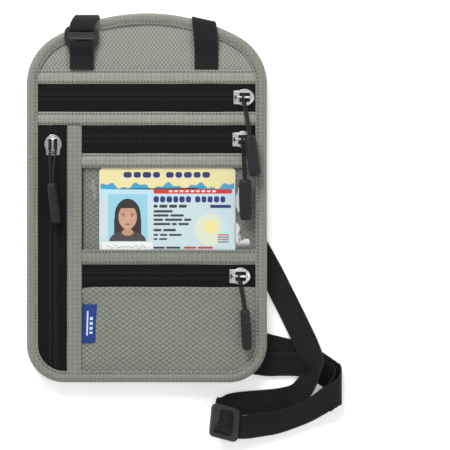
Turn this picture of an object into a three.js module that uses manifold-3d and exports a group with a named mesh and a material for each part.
// Neck pouch wallet lying on its back: +Z out of its front, +Y towards its top, millimetres.
import * as THREE from "three";
import { mergeVertices } from "three/addons/utils/BufferGeometryUtils.js";
import Module from "manifold-3d";

const wasm = await Module();
wasm.setup();

// ---- Driving dimensions -------------------------------------------------------------------
const POUCH_WIDTH = 151;
const POUCH_HEIGHT = 232;
const FRONT = 12.5; // height of the strips' top face over the table
const BOTTOM_CORNER_R = 24;
const SHOULDER_R = 34;
const CROWN_R = 120; // shallow arc along the top edge
const PAD_THICKNESS = 3.7; // padded back
const BINDING_WIDTH = 7.2;

const ZIP_GAP = 0.8; // between the two tapes of a zip
const TAPE_HALF = 10.4; // from the zip's centre to the hidden edge of a tape
const COIL_HALF = 3.0;
const SLIDER_LENGTH = 13;
const SLIDER_WIDTH = 11.4;
const CROWN_RISE = 2.35; // crown bar's centre over the slider's top plate
const CORD_R = 0.6;
const GRIP_LENGTH = 25.7;

const WEB_WIDTH = 15;
const WEB_THICKNESS = 1.1;
const LAYER_GAP = 0.2;
const TABLE_LAYER = LAYER_GAP + WEB_THICKNESS / 2; // centre height of webbing that lies on the table
const SECOND_LAYER = TABLE_LAYER + WEB_THICKNESS + LAYER_GAP; // and of webbing that lies on that
const CHANNEL_TOP = SECOND_LAYER + WEB_THICKNESS / 2 + 0.3; // groove that the webbing presses into the padded back

const RING_BAR = 2.6;
const GLIDE_LENGTH = 21; // across the bars
const GLIDE_WIDTH = 21.5; // along the bars
const GLIDE_THICKNESS = 2.6;
const GLIDE_TURN = new THREE.Euler(-0.394, 0.536, -0.309, "ZYX");

const HALF_W = POUCH_WIDTH / 2;
const HALF_H = POUCH_HEIGHT / 2;

// The front's layout, down from the top edge and in from the sides.
const fromTop = (...distances) => distances.map((distance) => HALF_H - distance);
const STRIP_1 = fromTop(44.6, 35.7);
const [ZIP_1_Y] = fromTop(53.1);
const STRIP_2 = fromTop(70.5, 62.1);
const [ZIP_2_Y] = fromTop(79.5);
const STRIP_3 = fromTop(97.2, 88.2);
const STRIP_4 = fromTop(158, 148.6);
const [ZIP_4_Y] = fromTop(165.3);
const [LOWER_PANEL_TOP] = fromTop(172);
const UPRIGHT_ZIP_X = 16.7 - HALF_W;
const UPRIGHT_STRIP = [26 - HALF_W, 34.3 - HALF_W];

const TAPE_TOP = FRONT - 0.9;
const TAPE_THICKNESS = 0.5;
const PANEL_LAYER = TAPE_TOP + 0.1 + WEB_THICKNESS / 2; // centre height of webbing that lies on the front panel

// ---- Mesh helpers -------------------------------------------------------------------------
const group = new THREE.Group();

function material(colour, roughness, metalness = 0) {
  return new THREE.MeshStandardMaterial({ color: colour, roughness, metalness });
}

const fabric = () => material(0x8f9488, 0.85);
const web = () => material(0x222325, 0.8);
const zipBlack = () => material(0x17181a, 0.7);
const plastic = () => material(0x2b2c2e, 0.45);
const metal = () => material(0xb4b4b4, 0.28, 1);

function add(name, geometry, mat) {
  const mesh = new THREE.Mesh(geometry, mat);
  mesh.name = name;
  group.add(mesh);
  return mesh;
}

function toManifold(geometry) {
  const plain = new THREE.BufferGeometry();
  const source = geometry.index ? geometry.toNonIndexed() : geometry;
  plain.setAttribute("position", source.getAttribute("position"));
  const merged = mergeVertices(plain, 1e-3);
  return new wasm.Manifold(new wasm.Mesh({
    numProp: 3,
    vertProperties: merged.attributes.position.array,
    triVerts: new Uint32Array(merged.index.array),
  }));
}

function fromManifold(solid) {
  const made = solid.getMesh();
  const geometry = new THREE.BufferGeometry();
  geometry.setAttribute("position", new THREE.BufferAttribute(made.vertProperties, 3));
  geometry.setIndex(new THREE.BufferAttribute(made.triVerts, 1));
  return geometry;
}

// A box by its lowest and highest corners.
function box(low, high) {
  const size = high.map((h, i) => h - low[i]);
  const geometry = new THREE.BoxGeometry(...size);
  return geometry.translate(...low.map((l, i) => l + size[i] / 2));
}

// Skins closed convex rings of equal point count, one after the next. A looped skin joins the
// last ring to the first; otherwise both ends are capped.
function loft(rings, looped = false) {
  const n = rings[0].length;
  const positions = rings.flat().flatMap((p) => [p.x, p.y, p.z]);
  const index = [];
  const spans = looped ? rings.length : rings.length - 1;
  for (let r = 0; r < spans; r++) {
    const a = r * n;
    const b = ((r + 1) % rings.length) * n;
    for (let i = 0; i < n; i++) {
      const j = (i + 1) % n;
      index.push(a + i, a + j, b + j, a + i, b + j, b + i);
    }
  }
  if (!looped) {
    const last = (rings.length - 1) * n;
    for (let i = 1; i < n - 1; i++) {
      index.push(0, i + 1, i, last, last + i, last + i + 1);
    }
  }
  const geometry = new THREE.BufferGeometry();
  geometry.setAttribute("position", new THREE.Float32BufferAttribute(positions, 3));
  geometry.setIndex(index);
  if (volume(geometry) < 0) index.reverse();
  geometry.setIndex(index);
  return geometry;
}

// Signed volume, positive when the faces point out.
function volume(geometry) {
  const p = geometry.getAttribute("position");
  const [a, b, c] = [new THREE.Vector3(), new THREE.Vector3(), new THREE.Vector3()];
  let sum = 0;
  for (let i = 0; i < geometry.index.count; i += 3) {
    a.fromBufferAttribute(p, geometry.index.getX(i));
    b.fromBufferAttribute(p, geometry.index.getX(i + 1));
    c.fromBufferAttribute(p, geometry.index.getX(i + 2));
    sum += a.dot(b.cross(c)) / 6;
  }
  return sum;
}

// ---- Pouch outline ------------------------------------------------------------------------
const SHOULDER_X = HALF_W - SHOULDER_R;
const CROWN_Y = HALF_H - CROWN_R;
const SHOULDER_Y = CROWN_Y + Math.sqrt((CROWN_R - SHOULDER_R) ** 2 - SHOULDER_X ** 2);
const SHOULDER_ANGLE = Math.atan2(SHOULDER_Y - CROWN_Y, SHOULDER_X);

function arc(x, y, radius, from, to, steps) {
  return Array.from({ length: steps + 1 }, (_, i) => {
    const angle = from + ((to - from) * i) / steps;
    return new THREE.Vector2(x + radius * Math.cos(angle), y + radius * Math.sin(angle));
  });
}

// The outline moved inwards by inset, anticlockwise from the bottom right corner.
function outline(inset) {
  const cornerX = HALF_W - BOTTOM_CORNER_R;
  const cornerY = BOTTOM_CORNER_R - HALF_H;
  const corner = BOTTOM_CORNER_R - inset;
  const shoulder = SHOULDER_R - inset;
  const left = Math.PI - SHOULDER_ANGLE;
  return [
    ...arc(cornerX, cornerY, corner, -Math.PI / 2, 0, 7),
    ...arc(SHOULDER_X, SHOULDER_Y, shoulder, 0, SHOULDER_ANGLE, 7),
    ...arc(0, CROWN_Y, CROWN_R - inset, SHOULDER_ANGLE, left, 10).slice(1),
    ...arc(-SHOULDER_X, SHOULDER_Y, shoulder, left, Math.PI, 7).slice(1),
    ...arc(-cornerX, cornerY, corner, Math.PI, 1.5 * Math.PI, 7),
  ];
}

function ringAt(inset, z) {
  return outline(inset).map((p) => new THREE.Vector3(p.x, p.y, z));
}

// Layers are cut from sheets that reach past the outline on every side.
const PAST_SIDE = HALF_W + 4.5;
const PAST_END = HALF_H + 4;

// A flat layer inside the binding, from zLow to zHigh, cut to a rectangle of the front.
function layer(zLow, zHigh, xRange = [-PAST_SIDE, PAST_SIDE], yRange = [-PAST_END, PAST_END], inset = 2.5) {
  const whole = toManifold(loft([ringAt(inset, zLow), ringAt(inset, zHigh)]));
  const cut = toManifold(box([xRange[0], yRange[0], zLow - 1], [xRange[1], yRange[1], zHigh + 1]));
  return fromManifold(whole.intersect(cut));
}

// ---- Webbing routes -----------------------------------------------------------------------
// Each stop is a point of the centre line, and the direction of one edge where the webbing
// doesn't lie flat: [x, y, z] or [x, y, z, edge x, edge y, edge z].
// They are laid out round a pouch of 151 x 232 mm, and move with the edges of another size.
function withEdges([x, y, ...rest]) {
  const down = THREE.MathUtils.clamp(-y / 60, 0, 1);
  const up = THREE.MathUtils.clamp((y + 30) / 30, -1, 1);
  return [x + (HALF_W - 75.5) * down, y + (HALF_H - 116) * up, ...rest];
}

const GLIDE_CENTRE = new THREE.Vector3(...withEdges([48.9, -141, 13]));

function onGlide(across, over) {
  const p = new THREE.Vector3(across, 0, over).applyEuler(GLIDE_TURN).add(GLIDE_CENTRE);
  return [...p.toArray(), ...new THREE.Vector3(0, -1, 0).applyEuler(GLIDE_TURN).toArray()];
}

const NECK_ROUTE = [
  withEdges([37.4, 80.7, PANEL_LAYER, 1, 0, 0]),
  withEdges([37.4, 86, PANEL_LAYER, 1, 0, 0]),
  withEdges([37.4, 90.5, FRONT - 0.05, 1, 0, 0]),
  withEdges([37.3, 94.5, FRONT + 1.0, 1, 0, 0]),
  withEdges([37.1, 98.5, FRONT + 2.05, 1, 0, 0]),
  withEdges([36.7, 104.5, FRONT + 2.1, 1, -0.05, 0]),
  withEdges([36.2, 108.9, FRONT + 1.7, 1, -0.15, 0]),
  withEdges([35.9, 111.2, FRONT + 0.4, 1, -0.21, 0]),
  withEdges([35.7, 111.9, FRONT - 2.2, 1, -0.22, 0]),
  withEdges([35.5, 111.7, 8.2, 1, -0.22, 0]),
  withEdges([35.2, 110.4, 5.6, 1, -0.2, 0]),
  withEdges([34.8, 107.6, 3.4, 1, -0.15, 0]),
  withEdges([34.2, 103.5, 1.7, 1, -0.1, 0]),
  withEdges([33.6, 99, 0.9]),
  withEdges([32.8, 94, TABLE_LAYER]),
  withEdges([31.8, 84, TABLE_LAYER]),
  withEdges([32.6, 66, TABLE_LAYER]),
  withEdges([36.6, 44, TABLE_LAYER]),
  withEdges([43.5, 20, TABLE_LAYER]),
  withEdges([52.5, -1, TABLE_LAYER]),
  withEdges([62.5, -19.5, TABLE_LAYER]),
  withEdges([71, -34, TABLE_LAYER]),
  withEdges([78.5, -47.5, 0.85]),
  withEdges([85, -60.5, 1.3]),
  withEdges([91, -72.5, 2.4]),
  withEdges([96.3, -83.5, 4.0]),
  withEdges([100.8, -93, 5.4, 0.88, 0.3, 0.2]),
  withEdges([104, -101.5, 7.6, 0.9, 0.09, 0.42]),
  withEdges([104.6, -109.4, 10.1, 0.5, -0.12, 0.86]),
  withEdges([100.8, -116.6, 7.3, 0.4, -0.74, 0.42]),
  withEdges([94.4, -124.4, 2.4, 0.3, -0.92, 0.2]),
  withEdges([86, -127.2, 1.0]),
  withEdges([76, -128.5, TABLE_LAYER]),
  withEdges([64, -129.5, TABLE_LAYER]),
  withEdges([54.5, -130.7, 0.9]),
  withEdges([48.3, -133.4, 1.8, -0.05, -1, 0.1]),
  withEdges([44, -135.8, 4.6, -0.09, -0.97, 0.2]),
  withEdges([42.7, -138.6, 8.2, -0.09, -0.95, 0.3]),
  onGlide(-4.5, -3.1),
  onGlide(-4.2, 0.6),
  onGlide(-2.8, 3.0),
  onGlide(0, 3.75),
  onGlide(2.8, 3.0),
  onGlide(4.2, 0.9),
  onGlide(5.8, -1.4),
  onGlide(9.1, -3.7 + WEB_THICKNESS),
  withEdges([62, -144.4, 4.4 + WEB_THICKNESS, 0, -0.96, 0.25]),
  withEdges([70, -143.2, 4.4 + WEB_THICKNESS, 0, -1, 0.06]),
  withEdges([80, -141.7, 4.7 + WEB_THICKNESS, 0.15, -0.97, -0.15]),
  withEdges([90, -138.7, 5.8 + WEB_THICKNESS, 0.25, -0.9, -0.3]),
  withEdges([100.5, -134, 7.5 + WEB_THICKNESS, 0.4, -0.82, -0.38]),
  withEdges([109, -129.1, 9.1 + WEB_THICKNESS, 0.35, -0.88, -0.3]),
  withEdges([114.2, -125.9, 9.6 + WEB_THICKNESS, 0.2, -0.95, -0.15]),
  withEdges([118.9, -123, 8.7 + WEB_THICKNESS, 0, -1, 0]),
  withEdges([121.7, -120.4, 7.7, 0, -1, 0]),
  withEdges([122.2, -117.8, 5.4, 0, -1, 0]),
  withEdges([121.2, -115, 3.1, 0, -1, 0]),
  withEdges([118.2, -112, 1.4, -0.1, -1, 0]),
  withEdges([113.8, -108.6, 0.85, -0.35, -0.95, 0]),
  withEdges([108.5, -104.9, TABLE_LAYER]),
  withEdges([102, -101, TABLE_LAYER]),
  withEdges([94, -97.7, TABLE_LAYER]),
  withEdges([84, -95.3, TABLE_LAYER]),
  withEdges([72, -92.2, TABLE_LAYER]),
  withEdges([58, -87, TABLE_LAYER]),
  withEdges([43, -78, TABLE_LAYER]),
  withEdges([28, -64.5, TABLE_LAYER]),
  withEdges([14.5, -46.5, TABLE_LAYER]),
  withEdges([3, -24, TABLE_LAYER]),
  withEdges([-7, 1, TABLE_LAYER]),
  withEdges([-16, 27, TABLE_LAYER]),
  withEdges([-23.5, 53, TABLE_LAYER]),
  withEdges([-30, 78, TABLE_LAYER]),
  withEdges([-33.4, 92, TABLE_LAYER, -1, 0, 0]),
];

const RETURN_ROUTE = [
  onGlide(2.5, -0.9),
  onGlide(2.3, 1.5),
  onGlide(0, 2.25),
  onGlide(-2.3, 1.5),
  onGlide(-2.5, -0.9),
  onGlide(-1.0, -2.3),
  onGlide(2.0, -2.7),
  onGlide(5.5, -3.3),
  onGlide(9.1, -4.05),
  withEdges([61.6, -144.6, 3.8, 0, -0.96, 0.25]),
  withEdges([70, -143.3, 3.7, 0, -1, 0.06]),
  withEdges([80, -141.9, 3.85, 0.15, -0.97, -0.15]),
  withEdges([90, -138.9, 4.95, 0.25, -0.9, -0.3]),
  withEdges([100, -134.9, 6.3, 0.4, -0.84, -0.33]),
  withEdges([107.5, -130.4, 7.8, 0.35, -0.88, -0.28]),
  withEdges([112, -127.2, 8.3, 0.2, -0.95, -0.15]),
  withEdges([115.6, -124.4, 7.9, 0, -1, 0]),
  withEdges([117.9, -121.6, 6.4, 0, -1, 0]),
  withEdges([118.5, -119, 4.9, 0, -1, 0]),
  withEdges([117.5, -116, 3.7, 0, -1, 0]),
  withEdges([114.5, -113, 2.9, -0.1, -1, 0]),
  withEdges([110, -110, 2.45, -0.35, -0.95, 0]),
  withEdges([104, -107, 2.2]),
  withEdges([96, -105.2, SECOND_LAYER]),
  withEdges([86, -104.9, SECOND_LAYER]),
  withEdges([74, -104.9, SECOND_LAYER]),
  withEdges([60, -101.7, SECOND_LAYER]),
  withEdges([45, -93.5, SECOND_LAYER]),
  withEdges([30, -80.5, SECOND_LAYER]),
  withEdges([15.5, -62, SECOND_LAYER]),
  withEdges([2.5, -38, SECOND_LAYER]),
  withEdges([-8, -10, SECOND_LAYER]),
  withEdges([-17.5, 20, SECOND_LAYER]),
  withEdges([-25, 50, SECOND_LAYER]),
  withEdges([-31, 78, SECOND_LAYER]),
  withEdges([-33.8, 92, SECOND_LAYER, -1, 0, 0]),
];

// The ring hangs on the tab by its lower bar and carries the strap on its upper bar.
const RING_X = -40.7;
const RING_LOW = [HALF_H - 20.1, FRONT + 0.3 + WEB_THICKNESS + RING_BAR / 2];
const RING_HIGH = [HALF_H - 9.8, FRONT + 2.9 + RING_BAR / 2];
const BAR_LOOP_R = RING_BAR / 2 + 0.42 + WEB_THICKNESS / 2;
const ACROSS = [-1, 0, 0]; // the webbing's edge where it turns round a bar along X

// A stop of a webbing loop round a bar that runs along X, at an angle in the YZ plane.
function roundBar(x, bar, degrees) {
  const angle = THREE.MathUtils.degToRad(degrees);
  return [x, bar[0] + BAR_LOOP_R * Math.cos(angle), bar[1] + BAR_LOOP_R * Math.sin(angle), ...ACROSS];
}

const RING_LOOP_ROUTE = [
  withEdges([-33.9, 92.9, TABLE_LAYER, ...ACROSS]),
  withEdges([-35, 99, 0.8, ...ACROSS]),
  withEdges([-35.9, 105.4, 1.45, ...ACROSS]),
  withEdges([-36.6, 110.1, 3.3, ...ACROSS]),
  withEdges([-37.1, 113.1, 5.3, ...ACROSS]),
  withEdges([-37.4, 114.4, 8.7, ...ACROSS]),
  withEdges([-37.6, 114.3, FRONT - 1.1, ...ACROSS]),
  withEdges([-37.9, 113.3, FRONT + 1.8, ...ACROSS]),
  withEdges([-38.7, 111.2, FRONT + 4.1, ...ACROSS]),
  withEdges([-39.8, 108.7, FRONT + 5.8, ...ACROSS]),
  roundBar(-40.4, RING_HIGH, 80),
  roundBar(RING_X, RING_HIGH, 130),
  roundBar(RING_X, RING_HIGH, 180),
  roundBar(RING_X, RING_HIGH, 230),
  roundBar(-40.5, RING_HIGH, 275),
  withEdges([-40.0, 108.6, FRONT + 1.85, ...ACROSS]),
  withEdges([-39.4, 110.4, FRONT + 1.6, ...ACROSS]),
  withEdges([-38.6, 112.2, FRONT + 0.6, ...ACROSS]),
  withEdges([-38.0, 113.0, FRONT - 1.6, ...ACROSS]),
  withEdges([-37.6, 113.0, 8.8, ...ACROSS]),
  withEdges([-37.1, 111.8, 6.3, ...ACROSS]),
  withEdges([-36.6, 109.3, 4.65, ...ACROSS]),
  withEdges([-36, 105, 2.8, ...ACROSS]),
  withEdges([-35, 99, 2.1, ...ACROSS]),
  withEdges([-34.1, 92.9, SECOND_LAYER, ...ACROSS]),
];

const TAB_SEAM_Y = STRIP_1[1] + 0.4;
const TAB_ROUTE = [
  [RING_X, TAB_SEAM_Y, PANEL_LAYER + 0.05, ...ACROSS],
  withEdges([RING_X, 86, PANEL_LAYER + 0.05, ...ACROSS]),
  withEdges([RING_X, 91.5, PANEL_LAYER + 0.25, ...ACROSS]),
  roundBar(RING_X, RING_LOW, 268),
  roundBar(RING_X, RING_LOW, 325),
  roundBar(RING_X, RING_LOW, 20),
  roundBar(RING_X, RING_LOW, 75),
  withEdges([RING_X, 94.2, FRONT + 4.7, ...ACROSS]),
  withEdges([RING_X, 91.4, FRONT + 3.2, ...ACROSS]),
  withEdges([RING_X, 88.5, FRONT + 1.8, ...ACROSS]),
  withEdges([RING_X, 85, FRONT + 1.2, ...ACROSS]),
  [RING_X, TAB_SEAM_Y, FRONT + 1.2, ...ACROSS],
];

function smoothed(vectors) {
  return new THREE.CatmullRomCurve3(vectors, false, "catmullrom", 0.5);
}

// Points and edge directions along a route. A skewed edge is longer, so the width stays true.
function followed(route, perSpan) {
  const points = route.map((s) => new THREE.Vector3(...s.slice(0, 3)));
  const edges = route.map((s, i) => {
    if (s.length > 3) return new THREE.Vector3(...s.slice(3)).normalize();
    const way = points[Math.min(i + 1, route.length - 1)].clone().sub(points[Math.max(i - 1, 0)]);
    return new THREE.Vector3(-way.y, way.x, 0).normalize();
  });
  const line = smoothed(points);
  const edge = smoothed(edges);
  const steps = (route.length - 1) * perSpan;
  return Array.from({ length: steps + 1 }, (_, i) => {
    const tangent = line.getTangent(i / steps);
    const side = edge.getPoint(i / steps).normalize();
    const face = side.clone().cross(tangent);
    side.multiplyScalar(1 / face.length());
    return { point: line.getPoint(i / steps), side, face: face.normalize() };
  });
}

function webbing(route, perSpan = 3) {
  return loft(followed(route, perSpan).map(({ point, side, face }) =>
    [[-1, -1], [1, -1], [1, 1], [-1, 1]].map(([a, b]) =>
      point.clone()
        .addScaledVector(side, (a * WEB_WIDTH) / 2)
        .addScaledVector(face, (b * WEB_THICKNESS) / 2))));
}

// The groove in the padded back over a stretch of a route, as a band with room at each side.
function groove(route, first, last) {
  const half = WEB_WIDTH / 2 + 0.8;
  const flat = followed(route.slice(first, last + 1), 2);
  return toManifold(loft(flat.map(({ point, side }) => {
    const out = new THREE.Vector3(side.x, side.y, 0).setLength(half);
    const [left, right] = [point.clone().sub(out), point.clone().add(out)];
    return [
      new THREE.Vector3(left.x, left.y, -1),
      new THREE.Vector3(right.x, right.y, -1),
      new THREE.Vector3(right.x, right.y, CHANNEL_TOP),
      new THREE.Vector3(left.x, left.y, CHANNEL_TOP),
    ];
  })));
}

// ---- Pouch body ---------------------------------------------------------------------------
// A padded tray: flat below, sloped up to a thin flange that the binding holds.
const tray = loft([
  ringAt(12.5, 0),
  ringAt(8, 6.6),
  ringAt(8, 7.1),
  ringAt(2.5, 7.1),
  ringAt(2.5, 7.9),
  ringAt(9.6, 7.9),
  ringAt(15.5, PAD_THICKNESS),
]);
const grooves = [
  groove(NECK_ROUTE, 11, 23),
  groove(NECK_ROUTE, 61, NECK_ROUTE.length - 1),
  groove(RETURN_ROUTE, 23, RETURN_ROUTE.length - 1),
  groove([withEdges([-32.5, 86, 0]), ...RING_LOOP_ROUTE.slice(0, 3)], 0, 3),
];
let back = toManifold(tray);
for (const cut of grooves) back = back.subtract(cut);
add("back_panel", fromManifold(back), fabric());

add("shield_lining", layer(PAD_THICKNESS + 0.15, PAD_THICKNESS + 0.4, [-57, 57], [-97, 97], 18),
  material(0x9aa0a4, 0.5, 0.2));
add("main_divider", layer(FRONT - 3.9, FRONT - 3.6), material(0x3a3c3b, 0.85));

// C-section band round the edge: [inset, height] of its corners, open towards the inside.
const BINDING_SECTION = [
  [BINDING_WIDTH, FRONT + 0.15],
  [BINDING_WIDTH, FRONT + 0.7],
  [BINDING_WIDTH - 1.6, FRONT + 1.1],
  [3.0, FRONT + 1.1],
  [1.0, FRONT + 0.3],
  [0, FRONT - 2.2],
  [0, 8.8],
  [0.7, 7.0],
  [2.5, 6.2],
  [BINDING_WIDTH, 6.4],
  [BINDING_WIDTH, 6.75],
  [2.0, 6.95],
  [2.0, FRONT + 0.15],
];
const bindingRings = outline(0).map((_, i) =>
  BINDING_SECTION.map(([inset, z]) => ringAt(inset, z)[i]));
const binding = toManifold(loft(bindingRings, true));
add("edge_binding", fromManifold(binding), fabric());

add("front_upper_panel",
  layer(TAPE_TOP - 0.5, TAPE_TOP, [-PAST_SIDE, PAST_SIDE], [STRIP_1[0] + 2.2, PAST_END]), fabric());
add("lower_front_panel",
  layer(TAPE_TOP - 0.5, TAPE_TOP, [UPRIGHT_STRIP[1] - 5, PAST_SIDE], [-PAST_END, LOWER_PANEL_TOP]), fabric());

const stripLevels = [FRONT - 0.8, FRONT];
const RIGHT_OF_UPRIGHT = [UPRIGHT_STRIP[1] + 0.3, PAST_SIDE];
add("strip_1", layer(...stripLevels, [-PAST_SIDE, PAST_SIDE], STRIP_1), fabric());
add("strip_2", layer(...stripLevels, [-PAST_SIDE, PAST_SIDE], STRIP_2), fabric());
add("strip_3", layer(...stripLevels, RIGHT_OF_UPRIGHT, STRIP_3), fabric());
add("strip_4", layer(...stripLevels, RIGHT_OF_UPRIGHT, STRIP_4), fabric());
add("strip_upright", layer(...stripLevels, UPRIGHT_STRIP, [-PAST_END, STRIP_2[0] - 0.3]), fabric());

const WINDOW_X = [UPRIGHT_STRIP[1] - 2.5, PAST_SIDE];
const WINDOW_Y = [STRIP_4[1] - 3.6, STRIP_3[0] + 3.6];
add("window_backing", layer(FRONT - 3.1, FRONT - 2.8, [UPRIGHT_STRIP[1] + 1, PAST_SIDE], WINDOW_Y), fabric());
add("clear_window", layer(TAPE_TOP - 0.4, TAPE_TOP, WINDOW_X, WINDOW_Y), material(0xdfe6e2, 0.12));

// Sample card of ID-1 size in the window pocket.
const CARD_CENTRE = [12.9, HALF_H - 123.9];
const CARD = [85.6, 54];
const CARD_CORNER_R = 3.2;
const cardShape = new THREE.Shape();
const [cardX, cardY] = [CARD[0] / 2 - CARD_CORNER_R, CARD[1] / 2 - CARD_CORNER_R];
[[cardX, cardY, 0], [-cardX, cardY, 0.5], [-cardX, -cardY, 1], [cardX, -cardY, 1.5]].forEach(
  ([x, y, turn]) =>
    cardShape.absarc(x, y, CARD_CORNER_R, turn * Math.PI, (turn + 0.5) * Math.PI));
cardShape.closePath();
const card = new THREE.ExtrudeGeometry(cardShape, { depth: 0.76, bevelEnabled: false, curveSegments: 4 });
add("id_card", card.translate(...CARD_CENTRE, FRONT - 2.4), material(0xdce9ef, 0.4));

// Woven label sewn against the upright strip.
const LABEL = [9.2, 24, 0.6];
const label = new THREE.BoxGeometry(...LABEL).rotateZ(-0.03);
add("side_label", label.translate(UPRIGHT_STRIP[1] + 0.6 + LABEL[0] / 2, 37.2 - HALF_H, TAPE_TOP + 0.5),
  material(0x2b5fb4, 0.7));

// ---- Zips ---------------------------------------------------------------------------------
// Top plate in the slider's own frame: x towards the mouth, flat tail at -x.
function sliderPlate(scale, thickness) {
  const half = SLIDER_LENGTH / 2;
  const wide = SLIDER_WIDTH / 2;
  const shape = new THREE.Shape();
  shape.moveTo(-half * scale, -wide * 0.72 * scale);
  shape.lineTo(-half * 0.45 * scale, -wide * 0.76 * scale);
  shape.quadraticCurveTo(0, -wide * 1.08 * scale, half * 0.45 * scale, -wide * 0.84 * scale);
  shape.quadraticCurveTo(half * 0.98 * scale, -wide * 0.55 * scale, half * scale, 0);
  shape.quadraticCurveTo(half * 0.98 * scale, wide * 0.55 * scale, half * 0.45 * scale, wide * 0.84 * scale);
  shape.quadraticCurveTo(0, wide * 1.08 * scale, -half * 0.45 * scale, wide * 0.76 * scale);
  shape.lineTo(-half * scale, wide * 0.72 * scale);
  shape.closePath();
  return new THREE.ExtrudeGeometry(shape, { depth: thickness, bevelEnabled: false, curveSegments: 4 });
}

// Two plates joined by a thin post between the coils, and the bridge that carries the cord.
const PLATE_LOW = TAPE_TOP + 0.2;
const PLATE_HIGH = PLATE_LOW + 0.9;
const CROWN_Z = PLATE_HIGH + CROWN_RISE;
const CROWN_BAR = [1.0, 1.2]; // height and width of the bridge's bar
const CROWN_HALF = 4.6;
const COIL_LOW = TAPE_TOP - TAPE_THICKNESS - 1.1;

function sliderSolid() {
  const top = toManifold(sliderPlate(1, 0.9).translate(0, 0, PLATE_LOW));
  const bottom = toManifold(sliderPlate(0.92, 0.7).translate(0, 0, COIL_LOW - 0.9));
  const post = toManifold(box([1.5, -0.2, COIL_LOW - 0.6], [4.6, 0.2, PLATE_LOW + 0.3]));
  const bridge = new THREE.Shape();
  const barTop = CROWN_Z + CROWN_BAR[0] / 2;
  const barLow = CROWN_Z - CROWN_BAR[0] / 2;
  bridge.moveTo(-CROWN_HALF - 0.6, PLATE_HIGH - 0.3);
  bridge.quadraticCurveTo(-CROWN_HALF, barTop, -CROWN_HALF + 1.6, barTop);
  bridge.lineTo(CROWN_HALF - 1.6, barTop);
  bridge.quadraticCurveTo(CROWN_HALF, barTop, CROWN_HALF + 0.6, PLATE_HIGH - 0.3);
  bridge.lineTo(CROWN_HALF - 0.9, PLATE_HIGH - 0.3);
  bridge.lineTo(CROWN_HALF - 1.5, barLow);
  bridge.lineTo(-CROWN_HALF + 1.5, barLow);
  bridge.lineTo(-CROWN_HALF + 0.9, PLATE_HIGH - 0.3);
  bridge.closePath();
  const crown = new THREE.ExtrudeGeometry(bridge, { depth: CROWN_BAR[1], bevelEnabled: false, curveSegments: 4 });
  crown.rotateX(Math.PI / 2).translate(0, CROWN_BAR[1] / 2, 0);
  return fromManifold(top.add(bottom).add(post).add(toManifold(crown)));
}

// Cord tube through hand-chosen points.
function cord(points) {
  const path = new THREE.CatmullRomCurve3(points.map((p) => new THREE.Vector3(...p)), false, "catmullrom", 0.5);
  const section = new THREE.Shape().absarc(0, 0, CORD_R, 0, 2 * Math.PI);
  return new THREE.ExtrudeGeometry(section, {
    steps: points.length * 3, curveSegments: 4, bevelEnabled: false, extrudePath: path,
  });
}

// Moulded grip: a rounded rod from its top face at the origin towards -y.
function grip(width, depth) {
  const stations = [[0, 0.62], [0.9, 0.86], [3, 0.98], [13, 1], [22.5, 0.96], [24.9, 0.84], [GRIP_LENGTH, 0.6]];
  return loft(stations.map(([along, size]) =>
    Array.from({ length: 14 }, (_, i) => {
      const angle = (i / 14) * 2 * Math.PI;
      const [c, s] = [Math.cos(angle), Math.sin(angle)];
      const square = (v) => Math.sign(v) * Math.abs(v) ** 0.72;
      return new THREE.Vector3(square(c) * width * 0.5 * size, -along, square(s) * depth * 0.5 * size);
    })));
}

// The cord of a slider whose bar runs along x: over the bar, round it and back below it.
const CORD_TURN_R = 1.62;
function cordRoundBar(top, spread) {
  const [x, y, z] = top;
  return [
    [x - spread, y + 0.25, z + 0.1],
    [x * 0.6 - spread, y * 0.62, CROWN_Z + (z - CROWN_Z) * 0.5 + 0.6],
    [-0.75, -2.6, CROWN_Z + 1.45],
    [-0.7, 0, CROWN_Z + CORD_TURN_R],
    [-0.35, 1.15, CROWN_Z + 1.15],
    [0, CORD_TURN_R, CROWN_Z],
    [0.35, 1.15, CROWN_Z - 1.15],
    [0.7, 0, CROWN_Z - CORD_TURN_R],
    [0.75, -2.6, CROWN_Z - 1.5],
    [x * 0.6 + spread, y * 0.62, CROWN_Z + (z - CROWN_Z) * 0.5 - 0.5],
    [x + spread, y + 0.25, z - 0.1],
  ];
}

// The cord of the upright slider: both strands lie along its bar and cross below it.
function cordAcrossBar(top, spread) {
  const [x, y, z] = top;
  return [
    [x - spread, y + 0.25, z],
    [x - spread - 0.3, y * 0.6, z],
    [-1.9, -2.4, CROWN_Z - 0.5],
    [-1.5, -0.5, CROWN_Z - 1.3],
    [0, 0, CROWN_Z - CORD_TURN_R],
    [1.5, -0.5, CROWN_Z - 1.3],
    [1.9, -2.4, CROWN_Z - 0.5],
    [x + spread + 0.3, y * 0.6, z],
    [x + spread, y + 0.25, z],
  ];
}

// name; crown bar's centre; grip top relative to it; grip's height, lean, roll, size and drop.
const GRIP_LEVEL = FRONT + 4.5;
const PULLERS = {
  zip_1: { at: [HALF_W - 14.5, ZIP_1_Y], top: [3.6, -24.2], level: FRONT + 8.2, lean: 0.148, roll: 0.5, drop: 0.06 },
  zip_2: { at: [HALF_W - 15.1, ZIP_2_Y], top: [1.2, -25.0], level: GRIP_LEVEL, lean: 0.026, roll: 0, drop: 0 },
  upright_zip: { at: [UPRIGHT_ZIP_X, HALF_H - 82.8], top: [-0.4, -23.9], level: FRONT + 5.4, lean: 0.123, roll: 1.35, drop: 0 },
  zip_4: { at: [HALF_W - 17, ZIP_4_Y], top: [3.0, -20.3], level: GRIP_LEVEL, lean: 0.055, roll: 1.35, drop: 0 },
};
const GRIP_SECTION = [8.0, 5.7];

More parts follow.
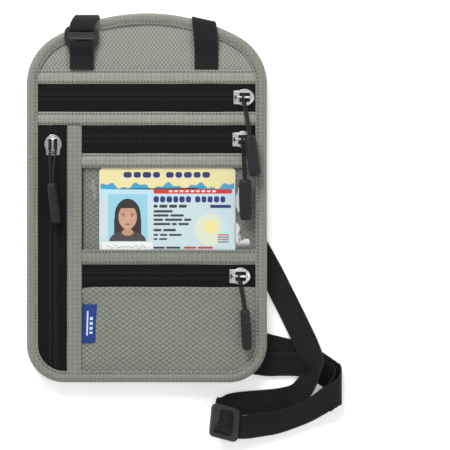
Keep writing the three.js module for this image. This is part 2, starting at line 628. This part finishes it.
function puller(name, upright) {
  const { at, top, level, lean, roll, drop } = PULLERS[name];
  const slider = sliderSolid();
  if (upright) slider.rotateZ(Math.PI / 2);
  add(name + "_slider", slider.translate(at[0], at[1], 0), metal());
  const cordRoute = (upright ? cordAcrossBar : cordRoundBar)([...top, level], 0.72);
  add(name + "_pull_cord", cord(cordRoute).translate(at[0], at[1], 0), material(0x161719, 0.85));
  const body = grip(...GRIP_SECTION).rotateY(roll).rotateX(-drop).rotateZ(lean);
  add(name + "_pull_grip", body.translate(at[0] + top[0], at[1] + top[1], level), material(0x2e2f33, 0.6));
}

// Two tapes and two coil halves of a zip along x, between x limits; the front covers their edges.
function zip(name, y, xRange, coverage) {
  const tape = [TAPE_TOP - TAPE_THICKNESS, TAPE_TOP];
  const coil = [COIL_LOW, TAPE_TOP - TAPE_THICKNESS - 0.12];
  const gap = ZIP_GAP / 2;
  const [below, above] = coverage;
  add(name + "_tape_lower", layer(...tape, xRange, [y - below, y - gap]), zipBlack());
  add(name + "_tape_upper", layer(...tape, xRange, [y + gap, y + above]), zipBlack());
  add(name + "_coil_lower", layer(...coil, xRange, [y - COIL_HALF, y - gap], 3), zipBlack());
  add(name + "_coil_upper", layer(...coil, xRange, [y + gap, y + COIL_HALF], 3), zipBlack());
}

// Tapes stop inside the strips that cover them, clear of the next tape or panel.
zip("zip_1", ZIP_1_Y, [-PAST_SIDE, PAST_SIDE], [TAPE_HALF, TAPE_HALF]);
zip("zip_2", ZIP_2_Y, RIGHT_OF_UPRIGHT.map((x, i) => (i ? x : x - 3)), [TAPE_HALF, TAPE_HALF]);
zip("zip_4", ZIP_4_Y, RIGHT_OF_UPRIGHT.map((x, i) => (i ? x : x - 3)), [6.4, TAPE_HALF]);

const uprightRange = [-PAST_END, STRIP_2[0] + 0.3];
const tapeLevels = [TAPE_TOP - TAPE_THICKNESS, TAPE_TOP];
const coilLevels = [COIL_LOW, TAPE_TOP - TAPE_THICKNESS - 0.12];
const uprightLeft = UPRIGHT_ZIP_X - ZIP_GAP / 2;
const uprightRight = UPRIGHT_ZIP_X + ZIP_GAP / 2;
add("upright_zip_tape_left", layer(...tapeLevels, [-PAST_SIDE, uprightLeft], uprightRange), zipBlack());
add("upright_zip_tape_right",
  layer(...tapeLevels, [uprightRight, UPRIGHT_STRIP[0] + 2.6], uprightRange), zipBlack());
add("upright_zip_coil_left",
  layer(...coilLevels, [UPRIGHT_ZIP_X - COIL_HALF, uprightLeft], uprightRange, 3), zipBlack());
add("upright_zip_coil_right",
  layer(...coilLevels, [uprightRight, UPRIGHT_ZIP_X + COIL_HALF], uprightRange, 3), zipBlack());

for (const name of Object.keys(PULLERS)) puller(name, name === "upright_zip");

// ---- Strap and its fittings ---------------------------------------------------------------
add("neck_strap", webbing(NECK_ROUTE), web());
add("strap_return", webbing(RETURN_ROUTE), web());
add("ring_loop", webbing(RING_LOOP_ROUTE, 4), web());
add("tab_webbing", webbing(TAB_ROUTE, 4), web());

// A frame of rounded bars: an outer rectangle with rectangular holes, [x, y, width, height, radius].
function roundedRect(path, [x, y, width, height, radius]) {
  const [w, h] = [width / 2 - radius, height / 2 - radius];
  [[w, h, 0], [-w, h, 0.5], [-w, -h, 1], [w, -h, 1.5]].forEach(([dx, dy, turn]) =>
    path.absarc(x + dx, y + dy, radius, turn * Math.PI, (turn + 0.5) * Math.PI));
  path.closePath();
  return path;
}

function barFrame(outer, holes, thickness, bevel) {
  const shape = roundedRect(new THREE.Shape(), outer);
  shape.holes = holes.map((hole) => roundedRect(new THREE.Path(), hole));
  return new THREE.ExtrudeGeometry(shape, {
    depth: thickness - 2 * bevel,
    bevelSize: bevel,
    bevelOffset: -bevel,
    bevelThickness: bevel,
    bevelSegments: 3,
    curveSegments: 4,
  }).translate(0, 0, bevel - thickness / 2);
}

const ringSpan = Math.hypot(RING_HIGH[0] - RING_LOW[0], RING_HIGH[1] - RING_LOW[1]);
const RING_OUTER_WIDTH = 21.6;
const ring = barFrame(
  [0, 0, RING_OUTER_WIDTH, ringSpan + RING_BAR, 4.4],
  [[0, 0, RING_OUTER_WIDTH - 2 * RING_BAR, ringSpan - RING_BAR, 0.8]],
  RING_BAR, 0.95);
ring.rotateX(Math.atan2(RING_HIGH[1] - RING_LOW[1], RING_HIGH[0] - RING_LOW[0]));
ring.translate(RING_X, (RING_LOW[0] + RING_HIGH[0]) / 2, (RING_LOW[1] + RING_HIGH[1]) / 2);
add("strap_ring", ring, plastic());

const GLIDE_BAR = 2.8;
const CENTRE_BAR = 3.2;
const slotWidth = (GLIDE_LENGTH - 2 * GLIDE_BAR - CENTRE_BAR) / 2;
const slotX = CENTRE_BAR / 2 + slotWidth / 2;
const slotHeight = GLIDE_WIDTH - 2 * GLIDE_BAR;
const glide = barFrame(
  [0, 0, GLIDE_LENGTH, GLIDE_WIDTH, 3.2],
  [[-slotX, 0, slotWidth, slotHeight, 0.8], [slotX, 0, slotWidth, slotHeight, 0.8]],
  GLIDE_THICKNESS, 0.6);
glide.applyMatrix4(new THREE.Matrix4().makeRotationFromEuler(GLIDE_TURN));
add("tri_glide", glide.translate(...GLIDE_CENTRE.toArray()), plastic());

export default group;
